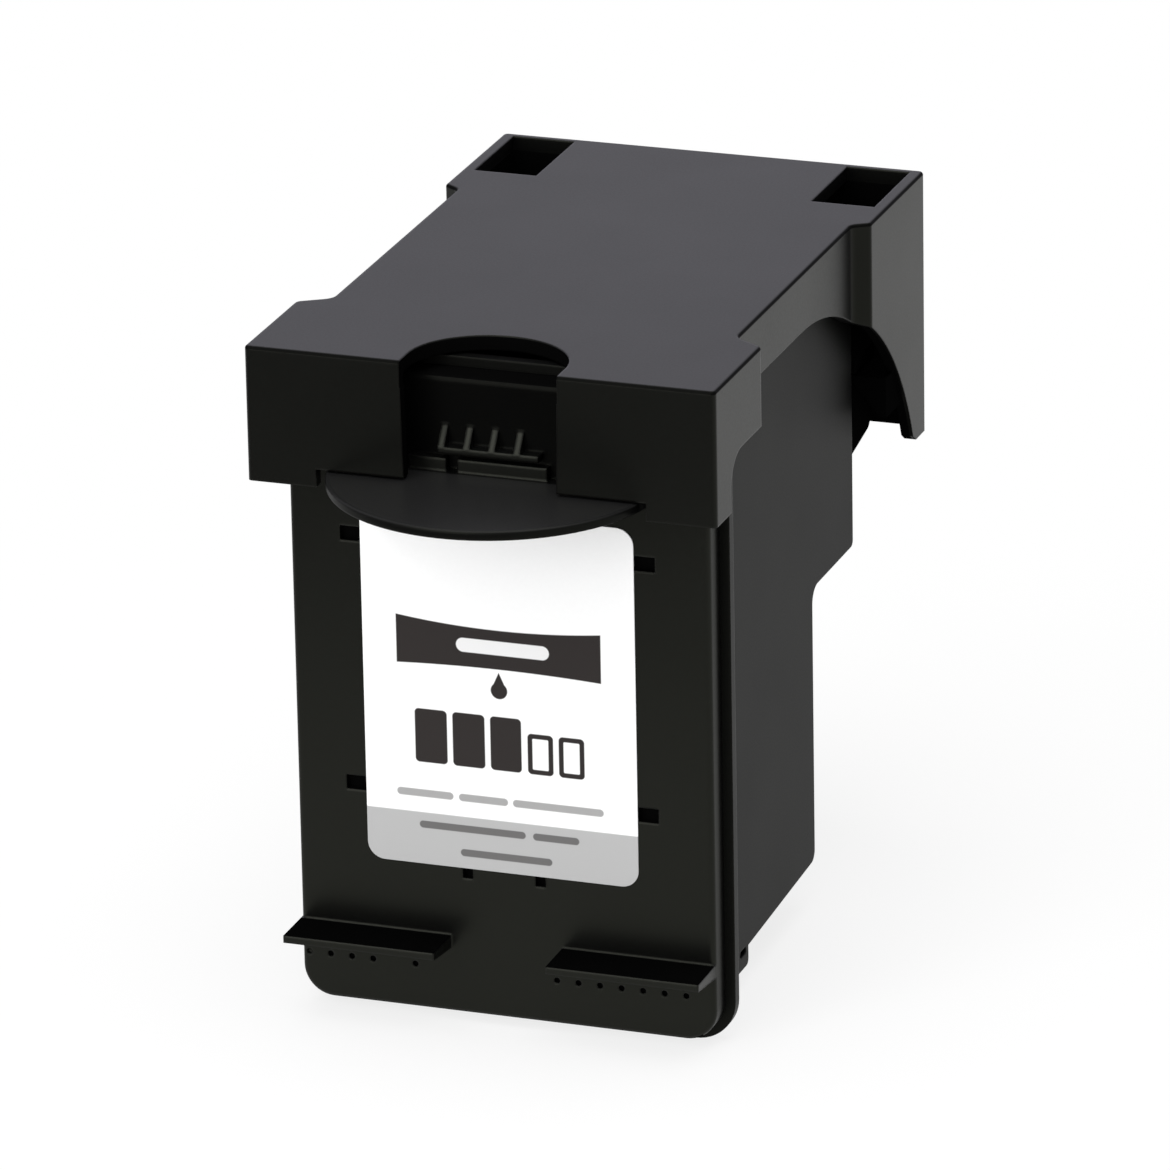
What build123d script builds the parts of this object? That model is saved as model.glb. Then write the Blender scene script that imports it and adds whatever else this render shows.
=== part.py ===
from build123d import *
import math
import os

# An ink cartridge with its printhead built in, standing upright with its push-on clip fitted.
# Lengths are in millimetres. Everything is drawn from the middle of the clip's top front edge,
# with X to the right, Y back and Z up. Each finished piece is then carried to the part's own
# frame, whose origin is on the ground under the middle of the whole.

# Reservoir body
body_width = 30.4
body_height = 48.2
body_wall = 1.3
upper_depth = 37.65
lower_depth = 27.15
step_drop = 25.1
step_radius = 1.4
body_edge_radius = 0.5
bottom_slope = 1.28
heel_radius = 0.9
flange_depth = 0.95
flange_rim = 0.8
foot_width = 2.6
foot_depth = 10.3
foot_drop = 1.55
foot_corner = 0.5
foot_slot_length = 1.5
foot_slot_height = 0.6
foot_slot_inset = 1.35
foot_slot_lift = 1.4

# Printhead snout
snout_width = 27.8
snout_depth = 8.8
snout_height = 17.9
snout_slope = 2.0
snout_wall = 1.4
shoulder_width = 2.7
shoulder_drop = 4.6
nub_reach = 1.0
nub_height = 2.4
nub_length = 5.0
nub_drop = 8.8
nose_radius = 1.0

# Ink path from the foam to the printhead
standpipe_diameter = 11.0
standpipe_bore = 7.6
filter_diameter = 10.2
filter_thickness = 0.3
foam_clearance = 0.3
head_drop = 9.1
slot_width = 1.6
slot_length = 9.6

# Printhead
die_width = 4.2
die_length = 12.6
die_thickness = 0.82
die_clearance = 0.2
adhesive_thickness = 0.12
nozzle_plate_thickness = 0.08
flex_thickness = 0.12
flex_side_gap = 1.0
flex_length = 27.0
flex_end_gap = 0.7
window_gap = 0.8
pad_size = 1.5
pad_height = 0.04
pad_pitch = 2.3
pad_side_gap = 1.3
pad_rows = 4
pad_start = 2.2
tape_width = 10.0
tape_corner = 0.5
tape_thickness = 0.06

# Lid
lid_width = 34.2
lid_height = 52.7
lid_depth = 2.45
lid_plate = 1.6
lid_skirt = 1.7
lid_corner = 2.5
lid_top_corner = 1.5
lid_edge_radius = 0.45
lid_over_body = 1.1
press_rib = 1.0
press_rib_spots = (-10.0, -3.4, 3.4, 10.0)
press_rib_end = 8.0

# Thumb tab, ledges and small marks of the lid
tab_radius = 13.1
tab_thickness = 0.8
tab_edge_radius = 0.2
tab_drop = 7.45
ledge_reach = 4.0
ledge_root = 1.1
ledge_tip = 0.6
ledge_gap = 9.2
ledge_lift = 6.5
gusset_count = 4
gusset_pitch = 2.05
gusset_offset = -1.02
gusset_width = 0.55
gusset_reach = 1.15
gusset_top_drop = 3.8
gusset_height = 1.6
comb_bar = 0.5
step_reach = 0.8
step_height = 1.05
step_spans = ((-6.9, -3.8), (-2.9, 4.4))
dimple_diameter = 0.5
dimple_depth = 0.3
dimple_first = 4.1
dimple_pitch = 1.77
dimple_lift = 3.7
dimples_left = (2, 4, 5, 6, 7)
dimples_right = (0, 1, 2, 3, 4, 5, 6)

# Label and the vent grooves that it covers
label_width = 22.3
label_height = 29.5
label_thickness = 0.1
label_corner = 1.4
label_drop = 10.9
label_shift = -0.15
groove_depth = 0.6
groove_width = 1.2
groove_outside = 1.7
groove_inside = 3.0
vent_hole = 0.9
side_groove_drops = (2.75, 23.4)
foot_groove_spots = (-3.1, 2.9)
foot_groove_width = 0.85
foot_groove_outside = 0.9

# Push-on clip, whose wings and the start of their arch are counted from its rear
clip_plate = 1.2
clip_wall = 1.0
clip_over_lid = 1.0
front_gap = 2.75
ear_clearance = 0.1
waist_clearance = 0.35
wing_clearance = 3.0
ear_length = 11.2
ear_blend = 1.5
wing_length = 14.0
wing_blend = 0.9
front_drop = 10.9
ear_drop = 6.4
ear_strip = 3.6
ear_strip_radius = 2.6
waist_drop = 4.8
arch_start = 27.6
arch_radius = 25.9
wing_drop = 22.0
wing_tip_chamfer = 0.6
rear_wall_lift = 0.6
clip_edge_radius = 0.25
clip_corner = 0.4
ear_rear_corner = 0.7
waist_front_corner = 1.2
waist_rear_corner = 0.8
notch_width = 12.75
notch_foot_width = 12.25
scallop_depth = 7.9
scallop_straight = 2.0
tab_clearance = 0.2
relief_side = 0.8
pit_width = 5.3
pit_length = 9.3
pit_depth = 5.0
pit_rear_wall = 0.7
pit_side_wall = 1.0
rail_thickness = 0.9
rail_gap = 1.0
hook_length = 4.6
hook_reach = 2.55
hook_height = 3.4
hook_lip = 0.6
hook_clearance = 0.2
seal_pad_thickness = 1.02
seal_pad_width = 11.0
seal_pad_corner = 1.5

# The circuit lies between the shoulders, and the pads fill its width
flex_width = snout_width - 2 * (shoulder_width + flex_side_gap)
pad_columns = 1 + int((flex_width - 2 * pad_side_gap - pad_size) / pad_pitch)

# A cut runs this far past a face, and a raised detail starts this far inside what carries it
over = 1.0
root = 0.5

# Heights, counted down from the clip's top
lid_top = -(clip_plate + clip_over_lid)
lid_bottom = lid_top - lid_height
flange_bottom = lid_bottom - flange_rim
body_top = lid_top - lid_over_body
body_bottom = body_top - body_height
head_z = body_top - head_drop
tab_top = lid_top - tab_drop
label_top = lid_top - label_drop
snout_top_side = body_top - shoulder_drop
nub_top = body_top - nub_drop

# Places from front to back, counted from the clip's front
lid_face = clip_wall + front_gap
weld = lid_face + lid_depth
flange_rear = weld + flange_depth
upper_rear = flange_rear + upper_depth
lower_rear = flange_rear + lower_depth
nose = upper_rear + snout_depth
head_skin = nose + flex_thickness
tape_rear = head_skin + tape_thickness
clip_inner_rear = tape_rear + seal_pad_thickness
clip_rear = clip_inner_rear + clip_wall
arch_front = clip_rear - arch_start
foam_rear = lower_rear - body_wall - filter_thickness
foam_front = flange_rear + foam_clearance
tab_front = lid_face - tab_radius

# Half widths of the clip, which goes round the flange, the body and the snout
ear_half = lid_width / 2 + flange_rim + ear_clearance + clip_wall
waist_half = body_width / 2 + waist_clearance + clip_wall
wing_half = snout_width / 2 + wing_clearance + clip_wall

PLACE = Pos(0, -(tab_front + clip_rear) / 2, -flange_bottom)


def block(x_left, x_right, y_front, y_back, z_low, z_high):
    """A box between two corners."""
    middle = Pos((x_left + x_right) / 2, (y_front + y_back) / 2, (z_low + z_high) / 2)
    return middle * Box(x_right - x_left, y_back - y_front, z_high - z_low)


def rounded(corners):
    """A closed outline through corners, each given as two coordinates and its radius."""
    outline = make_face(Polyline(*[(u, v) for u, v, radius in corners], close=True))
    for u, v, radius in corners:
        if radius > 0:
            corner = outline.vertices().sort_by_distance((u, v, 0))[0]
            outline = fillet(corner, radius)
    return outline


def back_from(outline, y_front, y_back):
    """An outline in X and Z, made solid from y_front to y_back."""
    return extrude(Plane.XZ.offset(-y_front) * outline, amount=y_front - y_back)


def across(outline, x_left, x_right):
    """An outline in Y and Z, made solid from x_left to x_right."""
    return extrude(Plane.YZ.offset(x_left) * outline, amount=x_right - x_left)


def down_from(outline, z_high, z_low):
    """An outline in X and Y, made solid from z_high down to z_low."""
    return extrude(Pos(0, 0, z_high) * outline, amount=z_low - z_high)


def both_sides(piece):
    """A piece and its mirror image across the middle plane."""
    return piece + mirror(piece, about=Plane.YZ)


def lid_outline(inset=0):
    """The lid's rounded outline, in X and Z, drawn in by inset on every side, or out by a negative one."""
    half = lid_width / 2 - inset
    high = lid_top - inset
    low = lid_bottom + inset
    top_radius = max(lid_top_corner - inset, 0)
    low_radius = max(lid_corner - inset, 0)
    return rounded([(-half, low, low_radius), (half, low, low_radius),
                    (half, high, top_radius), (-half, high, top_radius)])


def bottom_at(y):
    """Height of the body's sloping bottom at y."""
    return body_bottom - bottom_slope * (lower_rear - y) / lower_depth


def body_profile(inset):
    """Side outline of the reservoir, in Y and Z, drawn in by inset on every side."""
    front = weld - inset
    step = body_top - step_drop + inset
    return rounded([
        (front, body_top - inset, 0),
        (upper_rear - inset, body_top - inset, body_edge_radius),
        (upper_rear - inset, step, body_edge_radius),
        (lower_rear - inset, step, step_radius),
        (lower_rear - inset, body_bottom + inset, heel_radius),
        (front, bottom_at(front) + inset, 0),
    ])


def snout_profile():
    """Side outline of the snout, in Y and Z."""
    low = body_top - snout_height
    return rounded([
        (upper_rear - snout_wall, body_top, 0),
        (nose, body_top, nose_radius),
        (nose, low, nose_radius),
        (upper_rear - snout_wall, low - snout_slope, 0),
    ])


def snout():
    """The snout with its lowered shoulders and the two nubs that the clip's hooks catch."""
    half = snout_width / 2
    form = across(snout_profile(), -half, half)
    shoulder = block(half - shoulder_width, half + over, upper_rear, nose + over,
                     snout_top_side, body_top + over)
    form -= both_sides(shoulder)
    nub_low = nub_top - nub_height
    nub = rounded([(half - root, nub_top, 0), (half, nub_top, 0),
                   (half + nub_reach, nub_top - nub_height / 2, 0),
                   (half + nub_reach, nub_low, 0), (half - root, nub_low, 0)])
    nub_front = (upper_rear + nose - nub_length) / 2
    return form + both_sides(back_from(nub, nub_front, nub_front + nub_length))


def snout_cores():
    """The hollows that keep the snout's walls even, one on each side of the ink path."""
    inner = standpipe_diameter / 2 + snout_wall / 2
    outer = snout_width / 2 - snout_wall
    low = body_top - snout_height + snout_wall
    high = snout_top_side - snout_wall
    return both_sides(block(inner, outer, upper_rear - 2 * body_wall, nose - snout_wall, low, high))


def ink_path():
    """The passage from the filter: a bore, a funnel and the slot under the printhead die."""
    bore = Plane.XZ.offset(-(lower_rear - 2 * body_wall)) * Pos(0, head_z) * Circle(standpipe_bore / 2)
    pipe = extrude(bore, amount=lower_rear - 2 * body_wall - upper_rear)
    funnel_length = snout_depth - snout_wall
    funnel_middle = Pos(0, upper_rear + funnel_length / 2, head_z)
    funnel = funnel_middle * Rot(-90, 0, 0) * Cone(standpipe_bore / 2, slot_width / 2, funnel_length)
    slot = block(-slot_width / 2, slot_width / 2, upper_rear + funnel_length / 2, nose + over,
                 head_z - slot_length / 2, head_z + slot_length / 2)
    return pipe + funnel + slot


def die_pocket():
    """The pocket in the nose that holds the die and its adhesive."""
    half = die_width / 2 + die_clearance
    reach = die_length / 2 + die_clearance
    floor = head_skin - nozzle_plate_thickness - die_thickness - adhesive_thickness
    return block(-half, half, floor, nose + over, head_z - reach, head_z + reach)


def body():
    """The moulded reservoir: flange, stepped tank, snout, standpipe and feet, all one piece."""
    half = body_width / 2
    tank = across(body_profile(0), -half, half)
    flange = back_from(lid_outline(-flange_rim), weld, flange_rear)
    foot_rear = flange_rear + foot_depth
    foot_low = bottom_at(foot_rear) - foot_drop
    foot = across(rounded([(weld, bottom_at(weld) + root, 0), (foot_rear, body_bottom, 0),
                           (foot_rear, foot_low, foot_corner), (weld, foot_low, 0)]), half - foot_width, half)
    slot = Pos(foot_rear - foot_slot_inset, foot_low + foot_slot_lift)
    slot *= SlotOverall(foot_slot_length, foot_slot_height)
    slot = Plane.YZ.offset(half - foot_width / 2) * slot
    form = tank + flange + both_sides(foot) + snout()
    form -= both_sides(extrude(slot, amount=foot_width))
    cavity = across(body_profile(body_wall), -half + body_wall, half - body_wall)
    cavity += block(-half + body_wall, half - body_wall, weld - over, flange_rear,
                    bottom_at(weld) + body_wall, body_top - body_wall)
    form -= cavity
    pipe = Plane.XZ.offset(-(lower_rear - body_wall)) * Pos(0, head_z) * Circle(standpipe_diameter / 2)
    form += extrude(pipe, amount=-(upper_rear - lower_rear))
    form -= snout_cores()
    return form - ink_path() - die_pocket()


def vent_grooves():
    """The vent grooves that come out from under the label, and the holes at their inner ends."""
    cuts = []
    for side in (-1, 1):
        edge = label_shift + side * label_width / 2
        for drop in side_groove_drops:
            z = label_top - drop
            inner = edge - side * groove_inside
            outer = edge + side * groove_outside
            left, right = min(inner, outer), max(inner, outer)
            cuts.append(block(left, right, lid_face - over, lid_face + groove_depth,
                              z - groove_width / 2, z + groove_width / 2))
            cuts.append(back_from(Pos(inner + side * groove_width / 2, z) * Circle(vent_hole / 2),
                                  lid_face - over, lid_face + lid_plate + over))
    low_edge = label_top - label_height
    half = foot_groove_width / 2
    for x in foot_groove_spots:
        cuts.append(block(x - half, x + half, lid_face - over, lid_face + groove_depth,
                          low_edge - foot_groove_outside, low_edge + groove_inside))
    return cuts


def lid_comb():
    """The small gussets on their bar, and the low steps under them, seen in the finger notch."""
    gusset_top = lid_top - gusset_top_drop
    gusset_low = gusset_top - gusset_height
    gusset = rounded([(lid_face + root, gusset_top, 0), (lid_face, gusset_top, 0),
                      (lid_face - gusset_reach, gusset_low, 0), (lid_face + root, gusset_low, 0)])
    first = gusset_offset - gusset_pitch * (gusset_count - 1) / 2
    half = gusset_width / 2
    form = block(first - half, first + gusset_pitch * gusset_count - half, lid_face - gusset_reach,
                 lid_face + root, gusset_low - comb_bar, gusset_low)
    for index in range(gusset_count):
        x = first + index * gusset_pitch
        form += across(gusset, x - half, x + half)
    for left, right in step_spans:
        form += block(left, right, lid_face - step_reach, lid_face + root, tab_top, tab_top + step_height)
    return form


def lid_ledges():
    """The two narrow ledges above the lid's lower edge, thinner towards their tips."""
    top = lid_bottom + ledge_lift
    outline = rounded([(lid_face + root, top, 0), (lid_face - ledge_reach, top, 0),
                       (lid_face - ledge_reach, top - ledge_tip, 0), (lid_face, top - ledge_root, 0),
                       (lid_face + root, top - ledge_root, 0)])
    return both_sides(across(outline, ledge_gap / 2, lid_width / 2))


def lid():
    """The moulded lid: plate with its skirt, thumb tab, ledges, comb, vent grooves and dimples."""
    plate = back_from(lid_outline(), lid_face, weld)
    front_edges = plate.faces().sort_by(Axis.Y)[0].edges()
    plate = fillet(front_edges, lid_edge_radius)
    plate -= back_from(lid_outline(lid_skirt), lid_face + lid_plate, weld + over)
    for x in press_rib_spots:
        plate += block(x - press_rib / 2, x + press_rib / 2, lid_face + lid_plate - root, foam_front,
                       lid_bottom + press_rib_end, lid_top - press_rib_end)
    disc = Pos(0, lid_face) * Circle(tab_radius)
    behind = Pos(0, lid_face + root + tab_radius) * Rectangle(2 * (tab_radius + over), 2 * tab_radius)
    half_moon = disc - behind
    tab = down_from(half_moon, tab_top, tab_top - tab_thickness)
    tab = fillet(tab.edges().filter_by(GeomType.CIRCLE), tab_edge_radius)
    plate = plate + tab + lid_ledges() + lid_comb()
    for cut in vent_grooves():
        plate -= cut
    dimple_z = lid_bottom + dimple_lift
    spots = [-dimple_first - dimple_pitch * index for index in dimples_left]
    spots += [dimple_first + dimple_pitch * index for index in dimples_right]
    for x in spots:
        spot = Pos(x, dimple_z) * Circle(dimple_diameter / 2)
        plate -= back_from(spot, lid_face - over, lid_face + dimple_depth)
    return plate


def label():
    """The stuck-on label, which covers the vent holes."""
    middle = label_top - label_height / 2
    outline = Pos(label_shift, middle) * RectangleRounded(label_width, label_height, label_corner)
    return back_from(outline, lid_face - label_thickness, lid_face)


def foam_block():
    """The ink-filled foam that fills the tank between the lid's ribs and the filter."""
    half = body_width / 2 - body_wall - foam_clearance
    low = body_bottom + body_wall + foam_clearance
    return block(-half, half, foam_front, foam_rear, low, body_top - body_wall - foam_clearance)


def filter_screen():
    """The fine wire screen on the standpipe's end."""
    return back_from(Pos(0, head_z) * Circle(filter_diameter / 2), foam_rear, foam_rear + filter_thickness)


def die_adhesive():
    """The bead of adhesive round the slot, under the die."""
    floor = head_skin - nozzle_plate_thickness - die_thickness - adhesive_thickness
    ring = Pos(0, head_z) * Rectangle(die_width, die_length)
    ring -= Pos(0, head_z) * Rectangle(slot_width, slot_length)
    return back_from(ring, floor, floor + adhesive_thickness)


def printhead_die():
    """The silicon die, with its ink slot."""
    outer = head_skin - nozzle_plate_thickness
    chip = Pos(0, head_z) * Rectangle(die_width, die_length)
    chip -= Pos(0, head_z) * Rectangle(slot_width / 4, slot_length)
    return back_from(chip, outer - die_thickness, outer)


def nozzle_plate():
    """The thin plate with the nozzles, on the face of the die."""
    outline = Pos(0, head_z) * Rectangle(die_width, die_length)
    return back_from(outline, head_skin - nozzle_plate_thickness, head_skin)


def encapsulant_beads():
    """The two beads that cover the joints between the die's ends and the flexible circuit."""
    start = die_length / 2 + die_clearance
    bead = back_from(Pos(0, head_z + start + window_gap / 4) * Rectangle(die_width, window_gap / 2),
                     nose, head_skin)
    return bead + mirror(bead, about=Plane.XY.offset(head_z))


def flex_circuit():
    """The flexible circuit, bent over the nose from the contacts to the die, with its window."""
    low = head_z - die_length / 2 - window_gap - 2 * flex_end_gap
    start = nose - flex_length
    bend = nose - nose_radius
    turn = body_top - nose_radius
    skin = body_top + flex_thickness
    outline = make_face([
        Line((start, body_top), (bend, body_top)),
        RadiusArc((bend, body_top), (nose, turn), nose_radius),
        Line((nose, turn), (nose, low)),
        Line((nose, low), (head_skin, low)),
        Line((head_skin, low), (head_skin, turn)),
        RadiusArc((head_skin, turn), (bend, skin), -nose_radius - flex_thickness),
        Line((bend, skin), (start, skin)),
        Line((start, skin), (start, body_top)),
    ])
    strip = across(outline, -flex_width / 2, flex_width / 2)
    half = die_width / 2 + die_clearance
    reach = die_length / 2 + window_gap
    return strip - block(-half, half, nose - over, nose + over, head_z - reach, head_z + reach)


def contact_pads():
    """The contact pads, in rows on the flexible circuit's upper face."""
    low = body_top + flex_thickness
    first_x = -pad_pitch * (pad_columns - 1) / 2
    first_y = nose - flex_length + pad_start
    pads = [Pos(first_x + pad_pitch * column, first_y + pad_pitch * row, low + pad_height / 2)
            * Box(pad_size, pad_size, pad_height)
            for column in range(pad_columns) for row in range(pad_rows)]
    return Compound(children=pads)


def nozzle_tape():
    """The peel-off tape that seals the nozzles."""
    reach = die_length / 2 + window_gap
    outline = Pos(0, head_z) * RectangleRounded(tape_width, 2 * reach, tape_corner)
    return back_from(outline, head_skin, tape_rear)


def seal_pad():
    """The soft pad in the clip that presses on the tape."""
    reach = die_length / 2 + window_gap
    outline = Pos(0, head_z) * RectangleRounded(seal_pad_width, 2 * reach, seal_pad_corner)
    return back_from(outline, tape_rear, clip_inner_rear)


def clip_outline(inset):
    """The clip's outline from above, in X and Y, drawn in by inset on every side."""
    ear = ear_half - inset
    waist = waist_half - inset
    wing = wing_half - inset
    back = clip_rear - inset
    wing_front = clip_rear - wing_length
    right = [
        (ear, inset, clip_corner),
        (ear, ear_length, ear_rear_corner),
        (waist, ear_length + ear_blend, waist_front_corner),
        (waist, wing_front - wing_blend, waist_rear_corner),
        (wing, wing_front, clip_corner),
        (wing, back, clip_corner),
    ]
    left = [(-x, y, radius) for x, y, radius in reversed(right)]
    return rounded(right + left)


def clip_side():
    """The clip's walls seen from the side, in Y and Z: strips, waist, arch and wings."""
    arch_centre = -waist_drop - arch_radius
    tip = arch_front + math.sqrt(arch_radius ** 2 - (arch_centre + wing_drop) ** 2)
    ear_end = ear_length + ear_blend
    outline = make_face([
        Line((-over, over), (-over, -front_drop)),
        Line((-over, -front_drop), (ear_strip, -front_drop)),
        Line((ear_strip, -front_drop), (ear_strip, -ear_drop)),
        Line((ear_strip, -ear_drop), (ear_end, -ear_drop)),
        Line((ear_end, -ear_drop), (ear_end, -waist_drop)),
        Line((ear_end, -waist_drop), (arch_front, -waist_drop)),
        RadiusArc((arch_front, -waist_drop), (tip, -wing_drop), arch_radius),
        Line((tip, -wing_drop), (clip_rear + over, -wing_drop)),
        Line((clip_rear + over, -wing_drop), (clip_rear + over, over)),
        Line((clip_rear + over, over), (-over, over)),
    ])
    corner = outline.vertices().sort_by_distance((ear_strip, -ear_drop, 0))[0]
    outline = fillet(corner, ear_strip_radius)
    toe = outline.vertices().sort_by_distance((tip, -wing_drop, 0))[0]
    return chamfer(toe, wing_tip_chamfer)


def clip_hook():
    """The right wing's hook, which catches under the snout's nub."""
    wall = wing_half - clip_wall
    catch = nub_top - nub_height - hook_clearance
    tip = wall - hook_reach
    outline = rounded([(wall + root, catch, 0), (tip, catch, 0), (tip, catch - hook_lip, 0),
                       (wall, catch - hook_height, 0), (wall + root, catch - hook_height, 0)])
    front = (upper_rear + nose - hook_length) / 2
    return back_from(outline, front, front + hook_length)


def clip():
    """The push-on clip: a plate with ears, waist and wings, hooks, rails and the finger notch."""
    shell = down_from(clip_outline(0), 0, -wing_drop)
    top_edges = shell.faces().sort_by(Axis.Z)[-1].edges()
    shell = fillet(top_edges, clip_edge_radius)
    shell -= down_from(clip_outline(clip_wall), -clip_plate, -wing_drop - over)
    shell &= across(clip_side(), -ear_half - over, ear_half + over)
    wing_inner = wing_half - clip_wall
    shell -= block(-wing_inner, wing_inner, clip_inner_rear - root, clip_rear + over,
                   -wing_drop - over, -wing_drop + rear_wall_lift)
    notch = rounded([(-notch_width / 2, over, 0), (notch_width / 2, over, 0),
                     (notch_width / 2, 0, 0), (notch_foot_width / 2, -front_drop - over, 0),
                     (-notch_foot_width / 2, -front_drop - over, 0), (-notch_width / 2, 0, 0)])
    shell -= back_from(notch, -over, clip_wall + root)
    scallop = Pos(0, scallop_straight / 2) * Rectangle(notch_width, scallop_straight)
    scallop += Pos(0, scallop_straight) * Ellipse(notch_width / 2, scallop_depth - scallop_straight)
    shell -= down_from(scallop, over, -clip_plate - over)
    relief_half = math.sqrt(tab_radius ** 2 - lid_face ** 2) + relief_side
    shell -= block(-relief_half, relief_half, -over, clip_wall + root,
                   -front_drop - over, tab_top + tab_clearance)
    pit_outer = wing_half - pit_side_wall
    shell -= both_sides(block(pit_outer - pit_width, pit_outer, clip_rear - pit_rear_wall - pit_length,
                              clip_rear - pit_rear_wall, -pit_depth, over))
    rail_x = flex_width / 2 + rail_gap
    rail = block(rail_x, rail_x + rail_thickness, ear_length + ear_blend, upper_rear - over,
                 body_top, root - clip_plate)
    return shell + both_sides(rail) + both_sides(clip_hook())


PIECES = {
    "body": body,
    "lid": lid,
    "label": label,
    "foam_block": foam_block,
    "filter_screen": filter_screen,
    "die_adhesive": die_adhesive,
    "printhead_die": printhead_die,
    "nozzle_plate": nozzle_plate,
    "encapsulant_beads": encapsulant_beads,
    "flex_circuit": flex_circuit,
    "contact_pads": contact_pads,
    "nozzle_tape": nozzle_tape,
    "seal_pad": seal_pad,
    "clip": clip,
}

os.makedirs("parts", exist_ok=True)
for name, make in PIECES.items():
    export_step(PLACE * make(), f"parts/{name}.step")
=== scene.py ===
"""Looks of an inkjet ink cartridge that wears its push-on protective clip."""
from __future__ import annotations

import logging
import math
from dataclasses import dataclass, field
from enum import Enum
from typing import Protocol

import bpy
from mathutils import Matrix, Vector

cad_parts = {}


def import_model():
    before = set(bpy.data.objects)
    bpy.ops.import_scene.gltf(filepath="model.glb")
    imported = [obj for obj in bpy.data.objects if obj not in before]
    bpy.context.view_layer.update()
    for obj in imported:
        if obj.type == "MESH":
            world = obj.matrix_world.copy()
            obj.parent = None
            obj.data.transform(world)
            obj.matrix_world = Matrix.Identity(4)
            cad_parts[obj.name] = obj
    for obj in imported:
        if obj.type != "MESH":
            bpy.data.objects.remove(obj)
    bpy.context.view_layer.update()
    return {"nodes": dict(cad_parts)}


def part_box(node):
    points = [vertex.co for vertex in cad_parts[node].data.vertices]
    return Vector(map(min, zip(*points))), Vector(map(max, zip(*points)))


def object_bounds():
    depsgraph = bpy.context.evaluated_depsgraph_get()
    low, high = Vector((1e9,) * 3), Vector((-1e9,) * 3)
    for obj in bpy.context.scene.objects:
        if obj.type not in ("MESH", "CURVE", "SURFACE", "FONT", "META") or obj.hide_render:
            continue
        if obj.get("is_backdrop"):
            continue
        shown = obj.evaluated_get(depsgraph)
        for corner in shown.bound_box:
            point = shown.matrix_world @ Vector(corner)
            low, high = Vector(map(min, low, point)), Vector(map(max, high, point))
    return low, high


log = logging.getLogger("cartridge")

# A length that is multiplied by MM is in metres, and the others are in millimetres unless it says so
MM = 0.001
EDGE_SAMPLES = 6
Colour = tuple[float, float, float, float]

# The Mix node's sockets for colours, which share their names with those for numbers
MIX_LOW = 6
MIX_HIGH = 7
MIX_RESULT = 2


class Slot(Enum):
    """The material slots of the record."""

    TANK = "tank_plastic"
    LID = "lid_plastic"
    CLIP = "clip_plastic"
    LABEL = "label_paper"
    FOAM = "ink_foam"
    SCREEN = "wire_screen"
    ADHESIVE = "adhesive"
    SILICON = "silicon"
    NOZZLES = "nozzle_film"
    FLEX = "flex_film"
    GOLD = "gold"
    BEADS = "encapsulant"
    TAPE = "tape_film"
    PAD = "pad_rubber"


def grey(level: float) -> Colour:
    """A neutral colour of that linear level."""
    return (level, level, level, 1.0)


def towards(azimuth: float, elevation: float) -> Vector:
    """The direction from the object to a place around it.

    Args:
        azimuth: Radians to the right of the object's front.
        elevation: Radians above its level.

    Returns:
        The direction, one long.
    """
    flat = math.cos(elevation)
    return Vector((math.sin(azimuth) * flat, -math.cos(azimuth) * flat, math.sin(elevation)))


class Value:
    """A number on its way through a shader, with arithmetic that adds Math nodes."""

    def __init__(self, shader: Shader, socket: bpy.types.NodeSocket) -> None:
        """Wraps a socket of one shader's tree."""
        self.shader = shader
        self.socket = socket

    def math(self, operation: str, *others: Value | float, flip: bool = False) -> Value:
        """Adds one Math node.

        Args:
            operation: Blender's name of the operation.
            others: What it works on besides this value.
            flip: Whether this value comes last instead of first.

        Returns:
            The node's result.
        """
        terms = [*others, self] if flip else [self, *others]
        return self.shader.node("Math", dict(enumerate(terms)), operation=operation)

    def __add__(self, other: Value | float) -> Value:
        """This value plus another."""
        return self.math("ADD", other)

    def __radd__(self, other: float) -> Value:
        """A number plus this value."""
        return self.math("ADD", other)

    def __sub__(self, other: Value | float) -> Value:
        """This value less another."""
        return self.math("SUBTRACT", other)

    def __rsub__(self, other: float) -> Value:
        """A number less this value."""
        return self.math("SUBTRACT", other, flip=True)

    def __mul__(self, other: Value | float) -> Value:
        """This value times another."""
        return self.math("MULTIPLY", other)

    def __rmul__(self, other: float) -> Value:
        """A number times this value."""
        return self.math("MULTIPLY", other)

    def __truediv__(self, other: Value | float) -> Value:
        """This value divided by another."""
        return self.math("DIVIDE", other)

    def __pow__(self, other: float) -> Value:
        """This value to a power."""
        return self.math("POWER", other)

    def __abs__(self) -> Value:
        """This value without its sign."""
        return self.math("ABSOLUTE")

    def __mod__(self, other: float) -> Value:
        """What is left of this value after whole multiples of another."""
        return self.math("FLOORED_MODULO", other)

    def over(self, other: Value | float) -> Value:
        """The larger of this value and another."""
        return self.math("MAXIMUM", other)

    def under(self, other: Value | float) -> Value:
        """The smaller of this value and another."""
        return self.math("MINIMUM", other)

    def clamp(self) -> Value:
        """This value, kept between 0 and 1."""
        return self.over(0.0).under(1.0)

    def reach(self, other: Value) -> Value:
        """How far out a place is, with this value and another as its coordinates."""
        return (self * self + other * other) ** 0.5

    def step(self, softness: float = 0.07) -> Value:
        """A mask that is 1 where this distance is above 0, with an edge that is softness wide."""
        return (self / softness + 0.5).clamp()


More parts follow.
